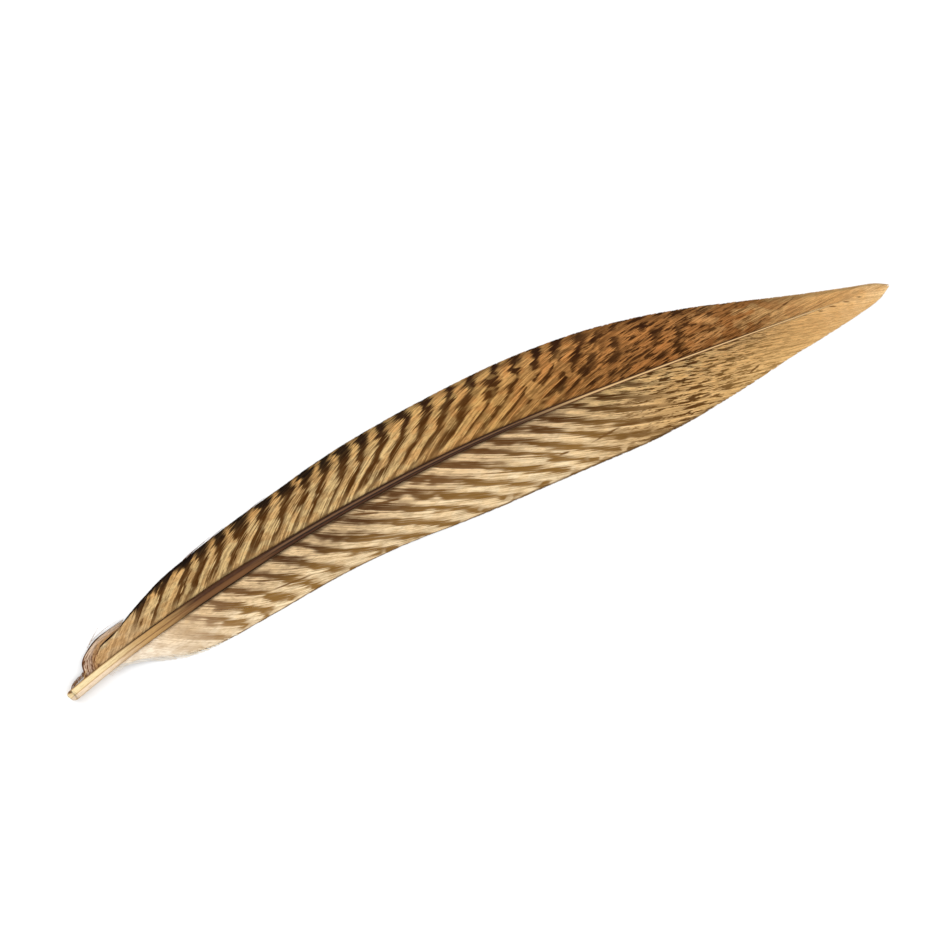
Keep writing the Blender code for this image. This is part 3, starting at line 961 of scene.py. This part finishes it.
# The tuft
# A crumpled bundle of soft pale barbs at the foot of the outer vane, bent forwards over it, with
# a dark crease where it folds, partly its own darker barbs and partly painted shadow in the fold.
TUFT_RIM = [(0, 4.7, 1.25), (0.2, 5.7, 3.9), (0.4, 8.1, 5.4), (0.7, 12.5, 6.55), (1, 18.9, 6.3)]
TUFT_CREASE = [(0, 8.6, 1.2), (0.3, 10.0, 3.5), (0.6, 12.0, 4.8), (1, 17.0, 5.05)]
TUFT_BARBS = 40
TUFT_LIFT = 0.55


def tuft_sheet():
    """The bundle's barbs as a grid of (s, v, z), from its rim to its crease."""
    row = np.linspace(0, 1, TUFT_BARBS + 1)[:, None]
    t = np.linspace(0, 1, SHEET_POINTS)
    rim = [through([(p[0], p[k]) for p in TUFT_RIM], t) for k in (1, 2)]
    crease = [through([(p[0], p[k]) for p in TUFT_CREASE], t) for k in (1, 2)]
    s, v = (a[None, :] * (1 - row) + b[None, :] * row for a, b in zip(rim, crease))
    v = v + 0.16 * np.sin(9.0 * row + 5.0 * t) * np.sin(math.pi * t)
    under = barb_line_height(s) - 0.30 * (v - 1.2)
    fold = np.sin(math.pi * row) ** 0.7 * np.sin(math.pi * t) ** 0.6
    return row, s, v, np.maximum(under, 0.25) + TUFT_LIFT * (0.35 + 0.65 * fold)


TUFT_PALE, TUFT_BUFF, TUFT_DARK = srgb(232, 208, 182), srgb(208, 168, 120), srgb(70, 40, 20)


def tuft_finish():
    """A dark line at the rim of the bundle, pale barbs behind it, a dark foot, and a dark crease partly
    painted as shadow in the fold.
    """
    material, tree, shader = new_material("crumpled tuft", 0.65, 0.05)
    row, run, _ = parts_of(tree, read(tree, "barb_place")[0])
    fine = noise(tree, row, run, (26.0, 7.0), 2.0, 0.6)
    colour = ramp(tree, row, [(0.05, TUFT_DARK), (0.1, TUFT_PALE), (0.5, TUFT_PALE), (0.7, TUFT_BUFF)])
    foot = times(tree, fade(tree, run, 0.55, 0.25), fade(tree, fine, 0.42, 0.58, 0.15, 0.95))
    colour = blend(tree, foot, colour, srgb(128, 80, 46))
    # The crease is partly the innermost barbs' own dark colour and partly painted shadow where the bundle
    # folds over the vane.
    crease = times(tree, fade(tree, row, 0.86, 0.93), fade(tree, run, 0.35, 0.55, 0.3, 1.0))
    colour = blend(tree, crease, colour, TUFT_DARK)
    colour = blend(tree, fade(tree, fine, 0.46, 0.7, 0.0, 0.5), colour, TUFT_DARK)
    # Painted shade in the grooves between the barbs, where each tucks under the next.
    groove_shade = use(tree, groove, ridge=read(tree, "ridge")[1], depth=0.3)["Dim"]
    colour = blend(tree, groove_shade, colour, TUFT_DARK)
    put(tree, shader.inputs["Base Color"], colour)
    return material


row, s, v, z = tuft_sheet()
sheet = sheet_object("tuft sheet", 1, row, s, v, z, s * 0, s * 0)
tuft = grown("tuft", sheet, barb, lay_barbs, tuft_finish(), {
    "Barbs": TUFT_BARBS, "Width in mm": 15.0, "Ragged ends": 0.1,
    "Loose barbs in mm": 0.12, "Uneven spacing": 0.4, "Seed": 31,
})
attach(tuft, "root")
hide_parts("feather")

# The down
# White downy barbs at the foot of the inner vane. They are too soft to hook together, so the
# table shows between them.
DOWN_FIRST = 9.4
DOWN_LAST = 24.0
DOWN_BARBS = 120
DOWN_START = 0.44
DOWN_REST = 0.14
DOWN_REACH = [(9.4, 1.7), (11, 1.9), (14, 2.6), (17, 4.1), (20, 6.0), (24, 8.3), (29, 9.95), (40, 11.4)]
DOWN_TIPS = [(9.4, 10.6), (14, 17.2), (18.5, 26.0), (24, 38.0)]


def down_sheet():
    """The downy barbs as a grid of (s, v, z) that lies just above the foot of the vane."""
    root = np.linspace(DOWN_FIRST, DOWN_LAST, DOWN_BARBS + 1)[:, None]
    t = np.linspace(0, 1, SHEET_POINTS)[None, :]
    tip = through(DOWN_TIPS, root)
    reach = through(DOWN_REACH, tip)
    start = DOWN_START * through(SHAFT_WIDTHS, root)
    s = root + (tip - root) * (0.8 * t + 0.2 * t**2)
    v = start + (reach - start) * t + 0.25 * np.sin(7 * t + root * 2.1) * t * (1 - t)
    height = barb_line_height(s)
    drop = np.minimum(height - DOWN_REST, STEEPEST_DROOP * (reach - start))
    z = height - drop * t**1.3 + 0.12 * t * (1 - t)
    return root, s, v, z


def down_finish():
    """Soft off-white keratin, creamier past the quill, with a few duller barbs."""
    material, tree, shader = new_material("white down", 0.8, 0.1)
    s = parts_of(tree, read(tree, "vane_place")[0])[0]
    own = parts_of(tree, read(tree, "barb_place")[0])[2]
    colour = blend(tree, fade(tree, s, 17, 30), srgb(248, 242, 232), srgb(242, 226, 196))
    colour = blend(tree, fade(tree, own, 0.5, 1.0, 0.0, 0.4), colour, srgb(206, 186, 158))
    put(tree, shader.inputs["Base Color"], colour)
    return material


soft_barb = straight_barb([(0.0, -0.02), (0.35, 0.05), (0.85, -0.02)])
root, s, v, z = down_sheet()
sheet = sheet_object("down sheet", -1, root, s, v, z, s * 0, s * 0)
down = grown("down", sheet, soft_barb, lay_barbs, down_finish(), {
    "Barbs": DOWN_BARBS, "Width in mm": 16.0, "Ragged ends": 0.2,
    "Loose barbs in mm": 0.12, "Uneven spacing": 1.4, "Seed": 41,
})
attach(down, "root")
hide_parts("feather")
bpy.data.objects.remove(barb)
bpy.data.objects.remove(soft_barb)

# The stray barbs
# Loose barbs that the vanes have lost hold of: hairs above the tuft, the torn brown fringe at the
# cut end, stubs below the quill and a few ends that stand off the outer vane's edge.
STRAY_HAIRS = [
    [(9.6, 6.3, 1.1), (11.4, 7.3, 1.3), (14.0, 8.4, 1.1)],
    [(8.8, 6.0, 1.0), (10.6, 7.0, 1.2), (12.2, 7.7, 1.2)],
    [(10.4, 6.7, 1.0), (13.6, 7.2, 1.2), (17.6, 6.9, 0.9)],
    [(36.5, 9.2, 0.6), (39.0, 9.75, 0.5), (42.5, 9.95, 0.3)],
    [(37.5, 9.2, 0.5), (40.5, 9.9, 0.4), (43.8, 10.15, 0.25)],
    [(43.0, 9.6, 0.5), (45.0, 10.1, 0.4), (47.6, 10.35, 0.25)],
    [(53.5, 10.4, 0.5), (56.0, 10.95, 0.4), (58.5, 11.1, 0.25)],
]
FRINGE_HAIRS = 34
STUB_HAIRS = 26
PATH_POINTS = 7
THREAD_SIDES = 5
THREAD_WAVE = 900.0


def stray_paths():
    """Paths of (s, v, z) for each stray barb, with its thickness in mm and its shade."""
    chance = np.random.default_rng(7)
    paths = []
    for path in STRAY_HAIRS:
        past_tuft = path[0][0] > 20
        paths.append((path, 0.16 if past_tuft else 0.11, 1.0 if past_tuft else 0.7))
    for _ in range(FRINGE_HAIRS):
        at = chance.uniform(0.5, 4.6)
        out = 1.15 + 0.12 * at
        tip = at + chance.uniform(1.2, 2.4)
        end = 1.75 + 0.16 * tip + chance.uniform(-0.2, 0.2)
        path = [(at, out, 1.3), ((at + tip) / 2, end - 0.1, 1.2), (tip, end, 0.9)]
        paths.append((path, 0.14, chance.uniform(0.75, 1.0)))
    for _ in range(STUB_HAIRS):
        at = chance.uniform(9.0, 13.8)
        reach = chance.uniform(0.5, 1.3)
        slant = chance.uniform(-0.1, 0.4)
        end = -1.2 - reach
        path = [(at, -1.1, 1.3), (at + slant / 2, end + reach / 2, 1.1), (at + slant, end, 0.8)]
        paths.append((path, 0.07, 0.3))
    return paths


def thread_tree():
    """Turns lines into thin tapering threads."""
    tree = bpy.data.node_groups.new("thread along lines", "GeometryNodeTree")
    sockets_for(tree, [
        ("Lines", "NodeSocketGeometry", None),
        ("Points", "NodeSocketInt", 9),
        ("Wobble in mm", "NodeSocketFloat", 0.06),
        ("Finish", "NodeSocketMaterial", None),
    ])
    given = add(tree, "NodeGroupInput")
    curve = add(tree, "GeometryNodeMeshToCurve", {"Mesh": given["Lines"]})["Curve"]
    smooth = add(tree, "GeometryNodeResampleCurve", {"Curve": curve, "Count": given["Points"]})["Curve"]
    wave = add(tree, "ShaderNodeTexNoise", {"Scale": THREAD_WAVE})["Color"]
    wobble = vector_calc(tree, "SUBTRACT", wave, (0.5, 0.5, 0.5))
    wobble = vector_calc(tree, "SCALE", wobble, times(tree, given["Wobble in mm"], 2 * MM))
    moved = add(tree, "GeometryNodeSetPosition", {"Geometry": smooth, "Offset": wobble})["Geometry"]
    run = add(tree, "GeometryNodeSplineParameter")["Factor"]
    taper = calc(tree, "SUBTRACT", 1.0, times(tree, run, 0.8))
    thick = times(tree, named(tree, "thickness", "FLOAT"), times(tree, taper, MM / 2))
    circle = {"Resolution": THREAD_SIDES, "Radius": 1.0}
    ring = add(tree, "GeometryNodeCurvePrimitiveCircle", circle, mode="RADIUS")["Curve"]
    tube = {"Curve": moved, "Profile Curve": ring, "Scale": thick, "Fill Caps": True}
    return close_tree(tree, add(tree, "GeometryNodeCurveToMesh", tube)["Mesh"], given["Finish"])


def stray_finish():
    """Brown for the fringe and the hairs, pale for the stubs."""
    material, tree, shader = new_material("stray barbs", 0.6, 0.15)
    shade = read(tree, "shade")[1]
    colour = ramp(tree, shade, [
        (0.0, srgb(222, 200, 178)), (0.35, srgb(206, 178, 152)), (0.75, srgb(132, 98, 66)),
        (1.0, srgb(84, 50, 28)),
    ])
    put(tree, shader.inputs["Base Color"], colour)
    return material


points, edges, thickness, shade = [], [], [], []
for path, thick, dark in stray_paths():
    a, b, c = (np.array(p, float) for p in path)
    for k, t in enumerate(np.linspace(0, 1, PATH_POINTS)):
        if k:
            edges.append((len(points) - 1, len(points)))
        place = (1 - t) * ((1 - t) * a + t * b) + t * ((1 - t) * b + t * c)
        points.append(on_feather(*place))
        thickness.append(thick)
        shade.append(dark)
lines_mesh = plain_mesh("stray lines", points, edges, [])
attribute(lines_mesh, "thickness", thickness)
attribute(lines_mesh, "shade", shade)
lines = in_scene("stray lines", lines_mesh)
strays = grown("stray_barbs", lines, None, thread_tree(), stray_finish(), {})
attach(strays, "root")
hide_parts("feather")

# The table, the light and the camera
# A plain pale table top under soft studio light, and a camera that looks straight down with
# the feather turned as in the picture.
TABLE_SIZE = 3.0
TABLE_GREY = 0.82
ROOM_LIGHT = 1.16
PICTURE_TURN = 26.74
PICTURE_CENTRE = (0.99, -4.55)
PICTURE_PIXELS = 950
MM_PER_PIXEL = 0.219
CAMERA_HEIGHT = 700.0
SENSOR = 36.0

corners = [(x * TABLE_SIZE / 2, y * TABLE_SIZE / 2, 0) for x, y in ((-1, -1), (1, -1), (1, 1), (-1, 1))]
table = in_scene("table", plain_mesh("table", corners, [], [(0, 1, 2, 3)]))
table_paint, _, table_shader = new_material("pale table", 0.9, 0.1)
table_shader.inputs["Base Color"].default_value = (TABLE_GREY, TABLE_GREY, TABLE_GREY, 1)
table.data.materials.append(table_paint)

world = bpy.data.worlds.new("soft room")
world.use_nodes = True
world.node_tree.nodes["Background"].inputs["Color"].default_value = (1, 1, 1, 1)
world.node_tree.nodes["Background"].inputs["Strength"].default_value = ROOM_LIGHT
scene.world = world

turn = math.radians(PICTURE_TURN)
for name, size, energy, place in (
    ("window light", 0.9, 3.4, (-0.35, 0.55, 0.8)),
    ("fill light", 1.2, 1.1, (0.6, -0.4, 0.9)),
):
    lamp = bpy.data.lights.new(name, "AREA")
    lamp.size = size
    lamp.energy = energy
    light = in_scene(name, lamp)
    x, y, z = place
    light.location = (x * math.cos(turn) + y * math.sin(turn), -x * math.sin(turn) + y * math.cos(turn), z)
    light.rotation_euler = light.location.to_track_quat("Z", "Y").to_euler()

lens = bpy.data.cameras.new("camera")
lens.sensor_width = SENSOR
lens.lens = SENSOR * CAMERA_HEIGHT / (PICTURE_PIXELS * MM_PER_PIXEL)
lens.clip_start = 0.01
camera = in_scene("camera", lens)
camera.location = (PICTURE_CENTRE[0] * MM, PICTURE_CENTRE[1] * MM, CAMERA_HEIGHT * MM)
camera.rotation_euler = (0, 0, -turn)
scene.camera = camera
scene.view_settings.view_transform = "Standard"
